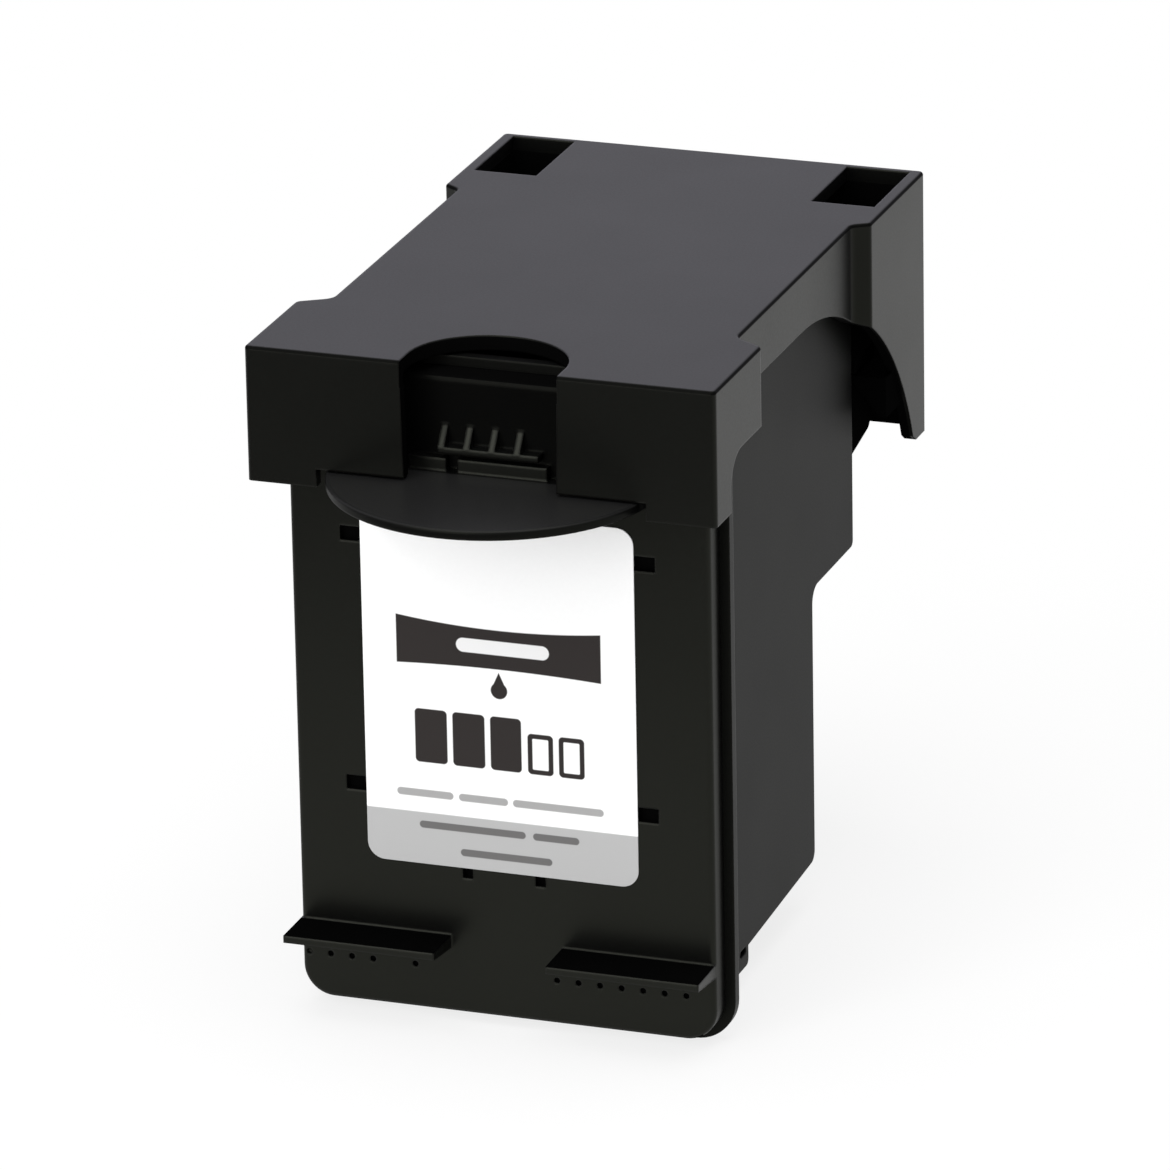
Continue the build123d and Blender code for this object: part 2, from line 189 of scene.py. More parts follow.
class Shader:
    """The node tree of one material or of the world."""

    def __init__(self, owner: bpy.types.Material | bpy.types.World) -> None:
        """Empties the owner's tree.

        Args:
            owner: The material or world that the shader is for.
        """
        self.owner = owner
        owner.use_nodes = True
        self.tree = owner.node_tree
        self.tree.nodes.clear()

    @classmethod
    def named(cls, name: str) -> Shader:
        """A shader for a new material of that name."""
        return cls(bpy.data.materials.new(name))

    def node(self, kind: str, inputs: dict[int | str, object] | None = None, output: int | str = 0,
             **settings: object) -> Value:
        """Adds a node of any kind.

        Args:
            kind: The node's type, without ShaderNode.
            inputs: A value or a link for each socket, by its place or name.
            output: The place or name of the output that is wanted.
            settings: The node's own settings, set before its sockets.

        Returns:
            That output.
        """
        made = self.tree.nodes.new("ShaderNode" + kind)
        for name, value in settings.items():
            setattr(made, name, value)
        for key, value in (inputs or {}).items():
            if isinstance(value, Value):
                self.tree.links.new(value.socket, made.inputs[key])
            else:
                made.inputs[key].default_value = value
        return Value(self, made.outputs[output])

    def place(self) -> tuple[Value, Value, Value, Value]:
        """Where the surface is on the object.

        Returns:
            The place as a vector in metres, and its X, Y and Z in millimetres.
        """
        vector = self.node("TexCoord", output="Object")
        scaled = self.node("VectorMath", {0: vector, "Scale": 1 / MM}, operation="SCALE")
        x, y, z = (self.node("SeparateXYZ", {0: scaled}, output=axis) for axis in "XYZ")
        return vector, x, y, z

    def upward(self) -> Value:
        """How far the surface faces up the object, from -1 to 1."""
        return self.node("SeparateXYZ", {0: self.node("TexCoord", output="Normal")}, output="Z")

    def ray(self, kind: str) -> Value:
        """Whether a ray is of a kind, such as Camera or Glossy."""
        return self.node("LightPath", output=f"Is {kind} Ray")

    def noise(self, place: Value, size: float, detail: float = 2.0) -> Value:
        """Smooth noise between 0 and 1 whose lumps are about size metres across."""
        return self.node("TexNoise", {"Vector": place, "Scale": 1 / size, "Detail": detail})

    def blend(self, share: Value | float, low: Value | Colour, high: Value | Colour) -> Value:
        """A colour between low, where share is 0, and high, where it is 1."""
        sockets = {0: share, MIX_LOW: low, MIX_HIGH: high}
        return self.node("Mix", sockets, output=MIX_RESULT, data_type="RGBA")

    def bump(self, height: Value, depth: float, strength: float = 1.0,
             normal: Value | None = None) -> Value:
        """A normal that follows a relief.

        Args:
            height: The relief, between 0 and 1.
            depth: How many metres stand between its 0 and its 1.
            strength: The share of the relief that counts.
            normal: The normal that it starts from, if that isn't the surface's own.

        Returns:
            The normal.
        """
        inputs: dict[int | str, object] = {"Height": height, "Distance": depth, "Strength": strength}
        if normal is not None:
            inputs["Normal"] = normal
        return self.node("Bump", inputs)

    def round_edges(self, radius: float) -> Value:
        """A normal that turns over the object's edges as if they had that radius."""
        return self.node("Bevel", {"Radius": radius}, samples=EDGE_SAMPLES)

    def principled(self, **inputs: object) -> Value:
        """Adds a Principled shader, whose sockets are named with underscores for spaces."""
        sockets = {name.replace("_", " "): value for name, value in inputs.items()}
        return self.node("BsdfPrincipled", sockets)

    def close(self, surface: Value) -> bpy.types.Material | bpy.types.World:
        """Links a surface to the tree's output.

        Args:
            surface: The shader that makes the surface.

        Returns:
            The finished material or world.
        """
        kind = "OutputWorld" if isinstance(self.owner, bpy.types.World) else "OutputMaterial"
        end = self.tree.nodes.new("ShaderNode" + kind)
        self.tree.links.new(surface.socket, end.inputs["Surface"])
        return self.owner


class Finish(Protocol):
    """Anything that builds a material."""

    def make(self) -> bpy.types.Material:
        """Builds the material."""


@dataclass(frozen=True)
class MouldedPlastic:
    """Black plastic as it leaves the mould, with spark-eroded grain, faint flow marks and soft edges."""

    name: str
    roughness: float
    gloss: float
    level: float = 0.002
    tint: Colour = (1.0, 1.04, 0.84, 1.0)
    grain_size: float = 0.16 * MM
    grain_depth: float = 0.004 * MM
    grain_strength: float = 0.5
    grain_sheen: float = 0.12
    flow_size: float = 9.0 * MM
    flow_share: float = 0.7
    flow_sheen: float = 0.05
    dark_tone: float = 0.86
    light_tone: float = 1.16
    edge_radius: float = 0.22 * MM
    # The paler grey that painted light gives the base where a subclass asks for it
    painted_light_level: float = 0.012

    def make(self) -> bpy.types.Material:
        """Builds the material, a satin surface and a copy without reflection that is mixed in from place
        to place as painted shade, on a base colour that painted light makes paler in places.

        Returns:
            The material.
        """
        shader = Shader.named(self.name)
        vector, x, y, z = shader.place()
        grain = shader.noise(vector, self.grain_size, detail=3.0)
        flow = shader.noise(vector, self.flow_size, detail=4.0)
        mottle = flow * self.flow_share + grain * (1.0 - self.flow_share)
        base = shader.blend(mottle, grey(self.level * self.dark_tone), grey(self.level * self.light_tone))
        # Painted light: the base colour turns to that paler grey where the mask says
        base = shader.blend(self.painted_light(y, z), base, grey(self.painted_light_level))
        roughness = self.roughness + (flow - 0.5) * self.flow_sheen + (grain - 0.5) * self.grain_sheen
        normal = shader.bump(grain, self.grain_depth, self.grain_strength, self.edges(shader, y))
        # Painted shade: a copy without reflection, mixed in where the mask says
        satin, painted_shade = (shader.principled(Base_Color=base, Roughness=roughness, Normal=normal,
                                         Specular_Tint=self.tint, Specular_IOR_Level=gloss)
                       for gloss in (self.gloss, 0.0))
        share = self.painted_shade(shader, x, y, z)
        return shader.close(shader.node("MixShader", {0: share, 1: satin, 2: painted_shade}))

    def painted_shade(self, shader: Shader, x: Value, y: Value, z: Value) -> Value | float:
        """How much painted shade a place gets, from 0 to 1, as the copy without reflection. Nowhere, on
        the plain plastic.
        """
        return 0.0

    def painted_light(self, y: Value, z: Value) -> Value | float:
        """How much painted light makes a place paler, from 0 to 1. Nowhere, on the plain plastic."""
        return 0.0

    def edges(self, shader: Shader, y: Value) -> Value:
        """The normal before its grain, turned over the edges."""
        return shader.round_edges(self.edge_radius)


@dataclass(frozen=True)
class TankPlastic(MouldedPlastic):
    """The tank's plastic, with painted shade that takes part of the reflection off its walls behind the
    flange, so that the flange shines most, and all of it off its snout.
    """

    flange_rear: float = 0.0
    flange_blur: float = 0.3
    wall_painted_shade: float = 0.28
    snout_front: float = 0.0

    def painted_shade(self, shader: Shader, x: Value, y: Value, z: Value) -> Value:
        """Painted shade: a little of it behind the flange, and in full behind the snout's front."""
        # Painted shade: the walls behind the flange lose part of their reflection and the snout all of it
        walls = (y - self.flange_rear).step(self.flange_blur) * self.wall_painted_shade
        return walls.over((y - self.snout_front).step())


@dataclass(frozen=True)
class LidPlastic(MouldedPlastic):
    """The lid's plastic, with painted shade, a copy without reflection, in its sheltered places and
    painted light that makes the thumb tab's top paler.

    A skin is how far a mask reaches past the faces that it is for, or stays off those beside them.
    """

    face: float = 0.0
    tab_top: float = 0.0
    tab_radius: float = 13.1
    plate_painted_shade: float = 0.8
    rim_painted_shade: float = 0.6
    rim_width: float = 0.3
    rim_margin: float = 1.0
    rim_blur: float = 0.1
    groove_half: float = 16.0
    ledge_drop: float = 5.0
    skin: float = 0.12
    painted_light_skin: float = 0.1
    painted_light_gap: float = 1.2
    depth: float = 2.45
    draft: float = 9.0

    def painted_shade(self, shader: Shader, x: Value, y: Value, z: Value) -> Value:
        """Painted shade, the copy without reflection, behind the finger notch, along the tab's rim, in
        the grooves and on top of the ledges.

        Args:
            shader: The shader that the mask is for.
            x: Places across the object.
            y: Places along it.
            z: Places up it.

        Returns:
            The mask.
        """
        ahead = self.face - y
        # Painted shade on the plate above the tab, inside the finger notch
        plate = (y - (self.face - self.skin)).under(z - self.tab_top).step() * self.plate_painted_shade
        # Painted shade that dims the highlight along the tab's rim
        rim = x.reach(ahead) - (self.tab_radius - self.rim_width)
        rim = rim.under(z - (self.tab_top - self.rim_margin)).under(ahead - self.rim_margin)
        rim = rim.step(self.rim_blur) * self.rim_painted_shade
        # Painted shade in the grooves
        grooves = (y - (self.face + self.skin)).under(self.groove_half - abs(x)).step()
        # Painted shade on top of the ledges
        low = (self.tab_top - self.ledge_drop) - z
        ledges = (shader.upward() - 0.5).under(ahead - self.skin).under(low).step()
        return plate.over(rim).over(grooves).over(ledges)

    def painted_light(self, y: Value, z: Value) -> Value:
        """Painted light: paler on top of the thumb tab."""
        # Painted light: the top of the thumb tab gets a paler base colour
        return (z - (self.tab_top - self.painted_light_skin)).under((self.face - self.painted_light_gap) - y).step()

    def edges(self, shader: Shader, y: Value) -> Value:
        """The normal before its grain, which leans forward all round the plate by the mould's draft.

        Args:
            shader: The shader that the normal is for.
            y: Places along the object.

        Returns:
            The normal.
        """
        rise = ((y - self.face) / self.depth).clamp()
        reach = self.depth * math.tan(math.radians(self.draft)) * MM
        return shader.bump(rise, reach, normal=shader.round_edges(self.edge_radius))


@dataclass(frozen=True)
class ClipPlastic(MouldedPlastic):
    """The clip's plastic, with painted shade, a copy without reflection, along its rounded top edges, on
    its wings' inner faces and in its notch.

    A skin is how far a mask reaches past the faces that it is for, or stays off those beside them.
    """

    top: float = 0.0
    front: float = 0.0
    rear: float = 0.0
    plate: float = 1.2
    notch_half: float = 6.375
    notch_depth: float = 7.9
    notch_skin: float = 0.1
    wing_length: float = 14.0
    wing_half: float = 17.9
    wing_skin: float = 0.25
    edge_painted_shade: float = 0.85
    edge_reach: float = 6.0

    def painted_shade(self, shader: Shader, x: Value, y: Value, z: Value) -> Value:
        """Painted shade where the normal leans between level and upright, inside the wings and in the
        notch.

        Args:
            shader: The shader that the mask is for.
            x: Places across the object.
            y: Places along it.
            z: Places up it.

        Returns:
            The mask.
        """
        up = abs(shader.upward())
        # Painted shade: a dark line along the rounded top edges
        edge = (up * (1.0 - up) * self.edge_reach).clamp() * self.edge_painted_shade
        return edge.over(self.wings(x, y, z)).over(self.notch(x, y, z))

    def wings(self, x: Value, y: Value, z: Value) -> Value:
        """The inner faces of the wings and of the wall between them, which get painted shade.

        Args:
            x: Places across the object.
            y: Places along it.
            z: Places up it.

        Returns:
            Their mask.
        """
        beside = (self.wing_half - self.wing_skin) - abs(x)
        behind = (y - (self.rear - self.wing_length)).under((self.rear - self.wing_skin) - y)
        below = (self.top - self.plate) - z
        return beside.under(behind).under(below).step()

    def notch(self, x: Value, y: Value, z: Value) -> Value:
        """The walls of the finger notch, which get painted shade.

        Args:
            x: Places across the object.
            y: Places along it.
            z: Places up it.

        Returns:
            Their mask.
        """
        across = (self.notch_half + self.notch_skin) - abs(x)
        ahead = (self.front + self.notch_depth + self.notch_skin) - y
        within = (y - (self.front + self.notch_skin)).under((self.top - self.notch_skin) - z)
        return across.under(ahead).under(within).step()


@dataclass(frozen=True)
class Bar:
    """A printed bar with round corners, in millimetres from the label's middle."""

    left: float
    right: float
    low: float
    high: float
    radius: float

    @classmethod
    def line(cls, left: float, right: float, height: float, thickness: float) -> Bar:
        """A bar with round ends.

        Args:
            left: Its left end.
            right: Its right end.
            height: The height of its middle.
            thickness: Its size up.

        Returns:
            The bar.
        """
        half = thickness / 2
        return cls(left, right, height - half, height + half, half)

    def inside(self, border: float, radius: float) -> Bar:
        """The bar within a border of this one, with corners of that radius."""
        return Bar(self.left + border, self.right - border, self.low + border, self.high - border, radius)

    def mask(self, x: Value, z: Value) -> Value:
        """Where the bar is printed.

        Args:
            x: Places across the label.
            z: Places up the label.

        Returns:
            Its mask.
        """
        across = abs(x - (self.left + self.right) / 2) - ((self.right - self.left) / 2 - self.radius)
        up = abs(z - (self.low + self.high) / 2) - ((self.high - self.low) / 2 - self.radius)
        return (self.radius - across.over(0.0).reach(up.over(0.0))).step()


@dataclass(frozen=True)
class Band:
    """The dark band, whose long edges both bow inwards, in millimetres from the label's middle."""

    half: float = 8.37
    low: float = 1.85
    low_bow: float = 0.25
    high: float = 5.85
    high_bow: float = 0.54
    bow_half: float = 8.4

    def mask(self, x: Value, z: Value) -> Value:
        """Where the band is printed.

        Args:
            x: Places across the label.
            z: Places up the label.

        Returns:
            Its mask.
        """
        bow = 1.0 - (x / self.bow_half) ** 2.0
        inside = (self.high - bow * self.high_bow - z).under(z - self.low - bow * self.low_bow)
        return inside.under(self.half - abs(x)).step()


@dataclass(frozen=True)
class Drop:
    """A plain ink drop, a round foot under a pointed top, in millimetres from the label's middle."""

    middle: float = 0.35
    radius: float = 0.68
    rise: float = 1.5

    def mask(self, x: Value, z: Value) -> Value:
        """Where the drop is printed.

        Args:
            x: Places across the label.
            z: Places up the label.

        Returns:
            Its mask.
        """
        up = z - self.middle
        ball = self.radius - x.reach(up)
        point = ((1.0 - up / self.rise) * self.radius - abs(x)).under(up)
        return ball.over(point).step()


@dataclass(frozen=True)
class Gauge:
    """A plain level gauge: full cells on the left and open ones on the right."""

    full_cells: tuple[Bar, ...] = (
        Bar(-7.0, -4.35, -6.25, -1.8, 0.35),
        Bar(-3.9, -1.25, -6.25, -1.8, 0.35),
        Bar(-0.8, 1.75, -6.25, -1.8, 0.35),
    )
    open_cells: tuple[Bar, ...] = (
        Bar(2.25, 4.35, -6.25, -2.9, 0.35),
        Bar(4.8, 6.9, -6.25, -2.9, 0.35),
    )
    border: float = 0.4
    inner_radius: float = 0.1

    def mask(self, x: Value, z: Value) -> Value:
        """Where the gauge is printed.

        Args:
            x: Places across the label.
            z: Places up the label.

        Returns:
            Its mask.
        """
        gauge, *others = [cell.mask(x, z) for cell in self.full_cells]
        for cell in self.open_cells:
            hollow = cell.inside(self.border, self.inner_radius).mask(x, z)
            others.append((cell.mask(x, z) - hollow).clamp())
        for other in others:
            gauge = gauge.over(other)
        return gauge


@dataclass(frozen=True)
class LabelStock:
    """Coated label paper with plain printed fields, in millimetres from the label's middle."""

    name: str
    middle_x: float
    middle_z: float
    paper: Colour = grey(0.93)
    paper_shade: Colour = grey(0.9)
    foot_grey: Colour = grey(0.44)
    bar_white: Colour = grey(0.78)
    ink: Colour = (0.024, 0.02, 0.019, 1.0)
    foot_top: float = -10.45
    band: Band = Band()
    drop: Drop = Drop()
    gauge: Gauge = Gauge()
    band_bar: Bar = Bar.line(-3.45, 4.15, 3.85, 1.15)
    lines: tuple[Bar, ...] = (
        Bar.line(-8.6, -3.95, -8.85, 0.62),
        Bar.line(-3.5, 0.55, -8.85, 0.62),
        Bar.line(0.95, 8.4, -8.85, 0.62),
    )
    line_share: float = 0.62
    foot_lines: tuple[Bar, ...] = (
        Bar.line(-6.8, 1.95, -11.45, 0.6),
        Bar.line(2.55, 6.35, -11.45, 0.6),
        Bar.line(-3.45, 4.1, -13.45, 0.6),
    )
    foot_line_share: float = 0.72
    fibre_size: float = 0.35 * MM
    fibre_depth: float = 0.004 * MM
    fibre_strength: float = 0.6
    roughness: float = 0.34
    spread: float = 0.16
    gloss: float = 0.15

    def make(self) -> bpy.types.Material:
        """Builds the material.

        Returns:
            The material.
        """
        shader = Shader.named(self.name)
        vector, x, _, z = shader.place()
        fibre = shader.noise(vector, self.fibre_size, detail=4.0)
        colour = shader.blend(fibre, self.paper_shade, self.paper)
        colour = self.printed(shader, colour, x - self.middle_x, z - self.middle_z)
        roughness = self.roughness + (fibre - 0.5) * self.spread
        normal = shader.bump(fibre, self.fibre_depth, self.fibre_strength)
        return shader.close(shader.principled(Base_Color=colour, Roughness=roughness, Normal=normal,
                                              Specular_IOR_Level=self.gloss))

    def printed(self, shader: Shader, colour: Value, x: Value, z: Value) -> Value:
        """Prints the fields.

        Args:
            shader: The shader that the label is made in.
            colour: The paper's colour.
            x: Places across the label.
            z: Places up the label.

        Returns:
            The paper's colour with the fields on it.
        """
        colour = shader.blend((self.foot_top - z).step(), colour, self.foot_grey)
        for shape in (self.band, self.drop, self.gauge):
            colour = shader.blend(shape.mask(x, z), colour, self.ink)
        colour = shader.blend(self.band_bar.mask(x, z), colour, self.bar_white)
        for line in self.lines:
            colour = shader.blend(line.mask(x, z) * self.line_share, colour, self.ink)
        for line in self.foot_lines:
            colour = shader.blend(line.mask(x, z) * self.foot_line_share, colour, self.ink)
        return colour


@dataclass(frozen=True)
class PlainFinish:
    """A finish whose detail is one lumpy pattern: colour, roughness and depth follow it together."""

    name: str
    low: Colour
    high: Colour
    roughness: float
    lump_size: float
    depth: float
    spread: float = 0.2
    metallic: float = 0.0
    coat: float = 0.0

    def make(self) -> bpy.types.Material:
        """Builds the material.

        Returns:
            The material.
        """
        shader = Shader.named(self.name)
        vector, _, _, _ = shader.place()
        lumps = shader.noise(vector, self.lump_size, detail=3.0)
        base = shader.blend(lumps, self.low, self.high)
        roughness = self.roughness + (lumps - 0.5) * self.spread
        normal = shader.bump(lumps, self.depth)
        return shader.close(shader.principled(Base_Color=base, Roughness=roughness, Normal=normal,
                                              Metallic=self.metallic, Coat_Weight=self.coat))


@dataclass(frozen=True)
class InkFoam:
    """Open-cell foam full of ink: thin struts round dark pores."""

    name: str
    cell_size: float = 0.45 * MM
    strut_share: float = 0.2
    strut_blur: float = 0.12
    strut_height: float = 0.12 * MM
    strut_black: Colour = grey(0.035)
    pore_black: Colour = grey(0.002)
    puddle_size: float = 3.0 * MM
    roughness: float = 0.35
    spread: float = 0.4

    def make(self) -> bpy.types.Material:
        """Builds the material.

        Returns:
            The material.
        """
        shader = Shader.named(self.name)
        vector, _, _, _ = shader.place()
        cells = {"Vector": vector, "Scale": 1 / self.cell_size}
        pores = shader.node("TexVoronoi", cells, feature="DISTANCE_TO_EDGE")
        struts = (self.strut_share - pores).step(self.strut_blur)
        wet = shader.noise(vector, self.puddle_size)
        base = shader.blend(struts, self.pore_black, self.strut_black)
        roughness = self.roughness + wet * self.spread
        normal = shader.bump(struts, self.strut_height)
        return shader.close(shader.principled(Base_Color=base, Roughness=roughness, Normal=normal))


@dataclass(frozen=True)
class WovenWire:
    """Fine plain-woven wire cloth that lies in X and Z."""

    name: str
    pitch: float = 0.16
    wire_start: float = 0.6
    wire_rise: float = 0.25
    wave: float = 0.25
    thickness: float = 0.03 * MM
    gap_black: Colour = grey(0.01)
    steel: Colour = (0.62, 0.61, 0.58, 1.0)
    roughness: float = 0.32
    gap_roughness: float = 0.5

    def make(self) -> bpy.types.Material:
        """Builds the material.

        Returns:
            The material.
        """
        shader = Shader.named(self.name)
        _, x, _, z = shader.place()
        turns = math.pi / self.pitch
        warp, weft = (abs((place * turns).math("SINE")) for place in (x, z))
        crest = warp.over(weft)
        wire = ((crest - self.wire_start) / self.wire_rise).clamp()
        over_under = (x * turns).math("COSINE") * (z * turns).math("COSINE")
        base = shader.blend(wire, self.gap_black, self.steel)
        roughness = self.roughness + (1.0 - wire) * self.gap_roughness
        normal = shader.bump(crest + over_under * self.wave, self.thickness)
        return shader.close(shader.principled(Base_Color=base, Roughness=roughness, Metallic=wire,
                                              Normal=normal))


@dataclass(frozen=True)
class CircuitFilm:
    """Amber film over copper tracks that run from the contacts to the die."""

    name: str
    half_width: float
    margin: float = 0.6
    pitch: float = 0.46
    track_width: float = 0.22
    track_blur: float = 0.04
    track_height: float = 0.012 * MM
    cloud_size: float = 1.4 * MM
    dark_amber: Colour = (0.3, 0.1, 0.012, 1.0)
    light_amber: Colour = (0.4, 0.16, 0.025, 1.0)
    copper: Colour = (0.62, 0.34, 0.1, 1.0)
    roughness: float = 0.24
    spread: float = 0.12
    coat: float = 0.3

    def make(self) -> bpy.types.Material:
        """Builds the material.

        Returns:
            The material.
        """
        shader = Shader.named(self.name)
        vector, x, _, _ = shader.place()
        inside = ((self.half_width - self.margin) - abs(x)).step(self.track_blur)
        beside = abs(x % self.pitch - self.pitch / 2)
        tracks = (self.track_width / 2 - beside).step(self.track_blur) * inside
        clouds = shader.noise(vector, self.cloud_size, detail=3.0)
        film = shader.blend(clouds, self.dark_amber, self.light_amber)
        base = shader.blend(tracks, film, self.copper)
        roughness = self.roughness + clouds * self.spread
        normal = shader.bump(tracks, self.track_height)
        return shader.close(shader.principled(Base_Color=base, Roughness=roughness, Normal=normal,
                                              Coat_Weight=self.coat))


@dataclass(frozen=True)
class NozzleFilm:
    """The amber nozzle layer with its two rows of nozzles."""

    name: str
    middle_z: float
    row_gap: float = 1.9
    row_half: float = 5.4
    pitch: float = 0.17
    nozzle_radius: float = 0.05
    nozzle_blur: float = 0.02
    nozzle_depth: float = 0.02 * MM
    nozzle_black: Colour = grey(0.01)
    stain_size: float = 0.9 * MM
    dark_amber: Colour = (0.32, 0.2, 0.06, 1.0)
    light_amber: Colour = (0.44, 0.3, 0.1, 1.0)
    roughness: float = 0.2
    spread: float = 0.15

    def make(self) -> bpy.types.Material:
        """Builds the material.

        Returns:
            The material.
        """
        shader = Shader.named(self.name)
        vector, x, _, z = shader.place()
        up = z - self.middle_z
        across = abs(abs(x) - self.row_gap / 2)
        along = abs(up % self.pitch - self.pitch / 2)
        holes = (self.nozzle_radius - across.reach(along)).step(self.nozzle_blur)
        holes = holes * (self.row_half - abs(up)).step(self.nozzle_blur)
        stains = shader.noise(vector, self.stain_size, detail=3.0)
        film = shader.blend(stains, self.dark_amber, self.light_amber)
        base = shader.blend(holes, film, self.nozzle_black)
        roughness = self.roughness + stains * self.spread
        normal = shader.bump(1.0 - holes, self.nozzle_depth)
        return shader.close(shader.principled(Base_Color=base, Roughness=roughness, Normal=normal))


class SubAssembly:
    """Pieces of the cartridge that belong together."""

    def finishes(self) -> dict[str, tuple[Finish, Slot]]:
        """The finish and the slot of each piece, by the piece's name."""
        raise NotImplementedError

    def dress(self, nodes: dict[str, bpy.types.Object]) -> None:
        """Gives each piece its material and reports it.

        Args:
            nodes: The model's pieces, by name.
        """
        for name, (finish, slot) in self.finishes().items():
            node = nodes[name]
            material = finish.make()
            node.data.materials.clear()
            node.data.materials.append(material)
            log.info("%s wears %s", node.name, material.name)


@dataclass
class Tank(SubAssembly):
    """The tank, with the foam and the screen inside it."""

    flange_depth: float = 0.95
    snout_depth: float = 8.8

    def finishes(self) -> dict[str, tuple[Finish, Slot]]:
        """The tank's finishes.

        Returns:
            The finish and the slot of each piece.
        """
        _, lid_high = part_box("lid")
        _, body_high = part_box("body")
        plastic = TankPlastic("tank_black", roughness=0.42, gloss=0.085,
                              flange_rear=lid_high.y / MM + self.flange_depth,
                              snout_front=body_high.y / MM - self.snout_depth)
        return {
            "body": (plastic, Slot.TANK),
            "foam_block": (InkFoam("foam_black"), Slot.FOAM),
            "filter_screen": (WovenWire("screen_steel"), Slot.SCREEN),
        }


@dataclass
class Lid(SubAssembly):
    """The lid with its label."""

    tab_drop: float = 7.45

    def finishes(self) -> dict[str, tuple[Finish, Slot]]:
        """The lid's finishes.

        Returns:
            The finish and the slot of each piece.
        """
        _, lid_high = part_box("lid")
        label_low, label_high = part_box("label")
        middle = (label_low + label_high) / 2
        plastic = LidPlastic("lid_black", roughness=0.32, gloss=0.18, edge_radius=0.3 * MM,
                             face=label_high.y / MM, tab_top=lid_high.z / MM - self.tab_drop)
        return {
            "lid": (plastic, Slot.LID),
            "label": (LabelStock("label_white", middle.x / MM, middle.z / MM), Slot.LABEL),
        }


@dataclass
class Printhead(SubAssembly):
    """The die with its nozzle layer and adhesive, and the flexible circuit with its contacts."""

    adhesive: PlainFinish = PlainFinish("adhesive_grey", low=grey(0.08), high=grey(0.14), roughness=0.4,
                                        lump_size=0.6 * MM, depth=0.02 * MM)
    silicon: PlainFinish = PlainFinish("silicon_grey", low=(0.16, 0.17, 0.2, 1.0),
                                       high=(0.24, 0.25, 0.29, 1.0), roughness=0.2, lump_size=2.0 * MM,
                                       depth=0.001 * MM)
    epoxy: PlainFinish = PlainFinish("bead_black", low=grey(0.01), high=grey(0.03), roughness=0.2,
                                     lump_size=0.4 * MM, depth=0.03 * MM, coat=0.6)
    gold: PlainFinish = PlainFinish("pad_gold", low=(0.7, 0.48, 0.16, 1.0), high=(0.9, 0.7, 0.3, 1.0),
                                    roughness=0.28, lump_size=0.3 * MM, depth=0.004 * MM, metallic=1.0)

    def finishes(self) -> dict[str, tuple[Finish, Slot]]:
        """The printhead's finishes.

        Returns:
            The finish and the slot of each piece.
        """
        die_low, die_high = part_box("printhead_die")
        _, flex_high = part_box("flex_circuit")
        nozzles = NozzleFilm("nozzle_amber", (die_low.z + die_high.z) / 2 / MM)
        return {
            "die_adhesive": (self.adhesive, Slot.ADHESIVE),
            "printhead_die": (self.silicon, Slot.SILICON),
            "nozzle_plate": (nozzles, Slot.NOZZLES),
            "encapsulant_beads": (self.epoxy, Slot.BEADS),
            "flex_circuit": (CircuitFilm("flex_amber", flex_high.x / MM), Slot.FLEX),
            "contact_pads": (self.gold, Slot.GOLD),
        }


@dataclass
class Clip(SubAssembly):
    """The protective clip, with its soft pad and the tape that the pad presses on."""

    tape: PlainFinish = PlainFinish("tape_pale", low=(0.5, 0.53, 0.6, 1.0), high=(0.66, 0.68, 0.72, 1.0),
                                    roughness=0.3, lump_size=0.8 * MM, depth=0.004 * MM)
    pad: PlainFinish = PlainFinish("pad_black", low=grey(0.02), high=grey(0.05), roughness=0.8,
                                   lump_size=0.25 * MM, depth=0.02 * MM)

    def finishes(self) -> dict[str, tuple[Finish, Slot]]:
        """The clip's finishes.

        Returns:
            The finish and the slot of each piece.
        """
        clip_low, clip_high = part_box("clip")
        plastic = ClipPlastic("clip_black", roughness=0.34, gloss=0.14, top=clip_high.z / MM,
                              front=clip_low.y / MM, rear=clip_high.y / MM)
        return {
            "nozzle_tape": (self.tape, Slot.TAPE),
            "seal_pad": (self.pad, Slot.PAD),
            "clip": (plastic, Slot.CLIP),
        }


@dataclass
class PhotographCamera:
    """The camera that took the photograph, as fitted to the clip and the lid, with angles in radians."""

    azimuth: float = 0.3449
    elevation: float = 0.3564
    roll: float = -0.0186
    distance: float = 738.6 * MM
    right_shift: float = 8.18 * MM
    up_shift: float = -16.36 * MM
    lens: float = 300.0
    sensor: float = 36.0
    nearest: float = 50.0 * MM
    farthest: float = 20000.0 * MM

    def make(self) -> None:
        """Adds the camera, whose place is counted from the middle of the clip's front top edge."""
        low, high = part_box("clip")
        aim = Vector((0.0, low.y, high.z))
        back = towards(self.azimuth, self.elevation)
        level = Vector((math.cos(self.azimuth), math.sin(self.azimuth), 0.0))
        rise = back.cross(level)
        right = math.cos(self.roll) * level + math.sin(self.roll) * rise
        up = -math.sin(self.roll) * level + math.cos(self.roll) * rise
        where = aim + self.right_shift * right + self.up_shift * up + self.distance * back
        camera = bpy.data.objects.new("photograph_camera", bpy.data.cameras.new("photograph_camera"))
        bpy.context.scene.collection.objects.link(camera)
        camera.data.lens = self.lens
        camera.data.sensor_width = self.sensor
        camera.data.clip_start = self.nearest
        camera.data.clip_end = self.farthest
        turn = Matrix((right, up, back)).transposed().to_4x4()
        camera.matrix_world = Matrix.Translation(where) @ turn
        bpy.context.scene.camera = camera


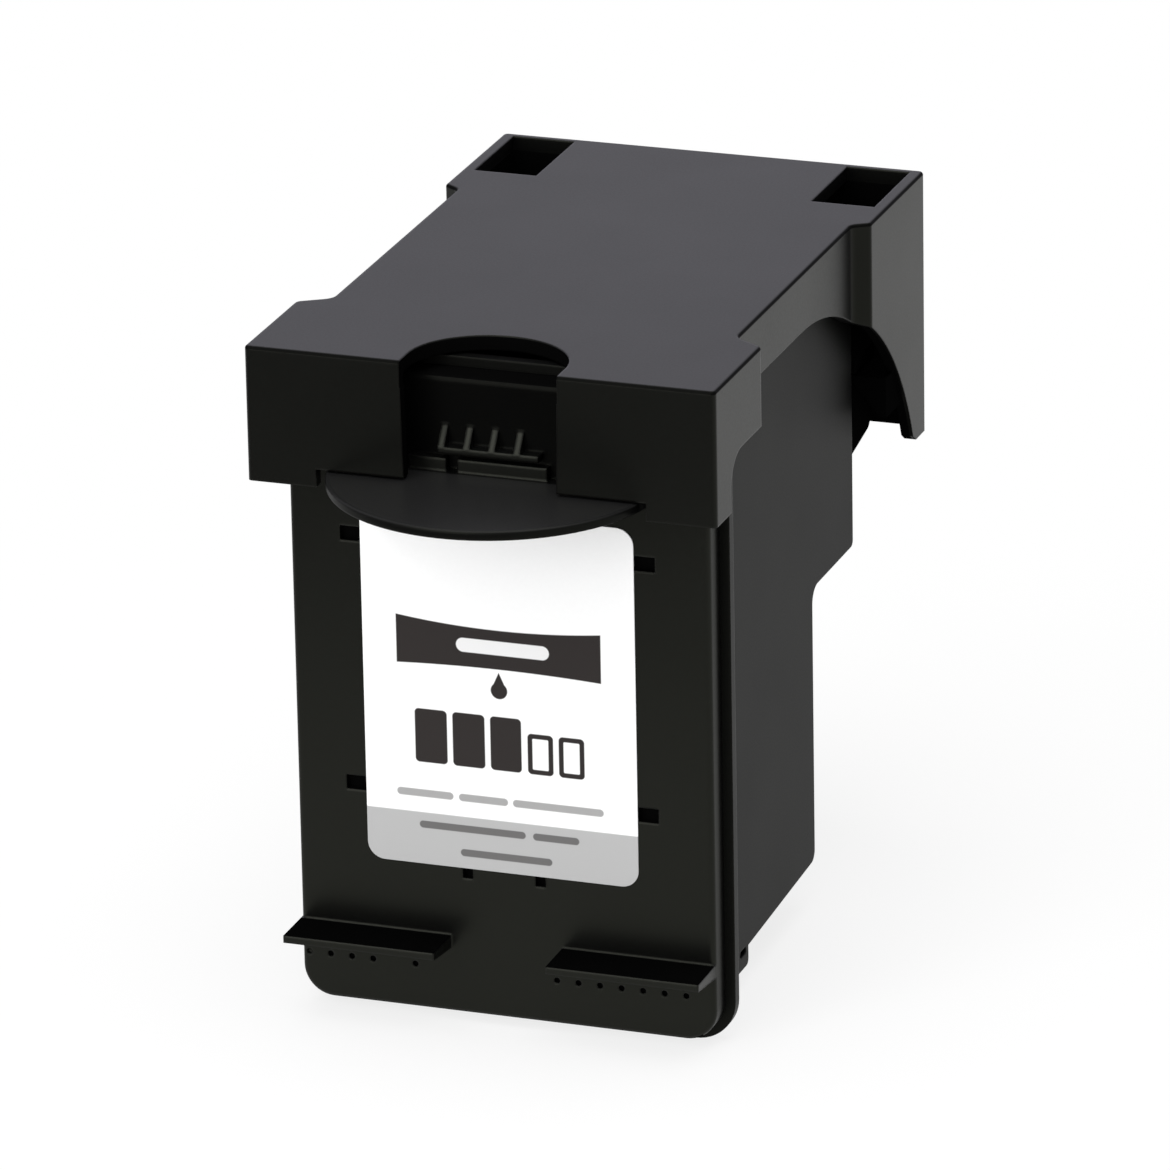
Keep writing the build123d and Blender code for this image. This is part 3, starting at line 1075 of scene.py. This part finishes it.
@dataclass
class Lamp:
    """One soft lamp, which looks at the object. Angles are in degrees and lengths in metres."""

    name: str
    azimuth: float
    elevation: float
    distance: float
    size: float
    power: float

    def make(self, aim: Vector) -> None:
        """Adds the lamp.

        Args:
            aim: The place that it looks at.
        """
        back = towards(math.radians(self.azimuth), math.radians(self.elevation))
        light = bpy.data.lights.new(self.name, "AREA")
        light.shape = "DISK"
        light.size = self.size
        light.energy = self.power
        lamp = bpy.data.objects.new(self.name, light)
        bpy.context.scene.collection.objects.link(lamp)
        lamp.location = aim + back * self.distance
        lamp.rotation_mode = "QUATERNION"
        lamp.rotation_quaternion = back.to_track_quat("Z", "Y")


@dataclass
class Studio:
    """A white floor, an even white room and soft lamps. The floor's reach is in metres."""

    floor_reach: float = 0.6
    floor_sides: int = 96
    floor_white: Colour = grey(0.92)
    shadow: float = 0.2
    shadow_start: float = 30.0
    shadow_fade: float = 80.0
    front_way: tuple[float, float] = (-0.34, -0.94)
    front_start: float = 95.0
    front_fade: float = 40.0
    front_shade: float = 0.9
    room_strength: float = 0.5
    mirrored_sky: Colour = (0.97, 0.95, 1.07, 1.0)
    lamps: list[Lamp] = field(default_factory=lambda: [
        Lamp("lamp_front", azimuth=-15.0, elevation=14.0, distance=0.9, size=0.8, power=4.1),
        Lamp("lamp_key", azimuth=-28.0, elevation=46.0, distance=0.9, size=0.25, power=0.9),
        Lamp("lamp_top", azimuth=20.0, elevation=82.0, distance=0.9, size=0.8, power=5.0),
    ])

    def make(self) -> None:
        """Builds the lamps, the floor and the room."""
        low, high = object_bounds()
        middle = (low + high) / 2
        for lamp in self.lamps:
            lamp.make(middle)
        self._make_floor(low.z)
        self._make_room()

    @staticmethod
    def seen_directly(shader: Shader) -> Value:
        """Whether a ray came from the camera, a glossy surface or a clear one."""
        return shader.ray("Camera").over(shader.ray("Glossy")).over(shader.ray("Transmission"))

    def _make_floor(self, height: float) -> None:
        """Lays the floor, which keeps the object's shadow and fades into the white room.

        Well ahead of the object it is dark in reflections, so that the upright black faces mirror less.

        Args:
            height: How high it lies, in metres.
        """
        bpy.ops.mesh.primitive_circle_add(vertices=self.floor_sides, radius=self.floor_reach,
                                          fill_type="NGON", location=(0, 0, height))
        floor = bpy.context.object
        floor.name = "floor"
        bpy.ops.object.transform_apply(location=True, rotation=True, scale=True)
        shader = Shader.named("floor_white")
        _, x, y, _ = shader.place()
        far = ((x.reach(y) - self.shadow_start) / self.shadow_fade).clamp()
        light = far * self.shadow + (1.0 - self.shadow)
        forward = x * self.front_way[0] + y * self.front_way[1]
        ahead = ((forward - self.front_start) / self.front_fade).clamp()
        tone = 1.0 - ahead * (1.0 - shader.ray("Camera")) * self.front_shade
        glow = shader.blend(tone, grey(0.0), grey(1.0))
        paper = shader.node("BsdfDiffuse", {"Color": self.floor_white})
        white = shader.node("Emission", {"Color": glow, "Strength": 1.0})
        surface = shader.node("MixShader", {0: light * self.seen_directly(shader), 1: paper, 2: white})
        floor.data.materials.append(shader.close(surface))
        floor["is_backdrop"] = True

    def _make_room(self) -> None:
        """Makes the world: white to look at, a little violet in reflections, and softer as a light."""
        shader = Shader(bpy.data.worlds.new("white_room"))
        strength = self.seen_directly(shader) * (1.0 - self.room_strength) + self.room_strength
        colour = shader.blend(shader.ray("Glossy"), grey(1.0), self.mirrored_sky)
        room = shader.node("Background", {"Color": colour, "Strength": strength})
        bpy.context.scene.world = shader.close(room)


def main() -> None:
    """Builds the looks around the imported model."""
    logging.basicConfig(level=logging.INFO, format="%(message)s")
    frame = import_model()
    bpy.ops.object.select_all(action="DESELECT")
    PhotographCamera().make()
    Studio().make()
    bpy.context.scene.view_settings.view_transform = "Standard"
    for assembly in (Tank(), Lid(), Printhead(), Clip()):
        assembly.dress(frame["nodes"])


if __name__ == "__main__":
    main()
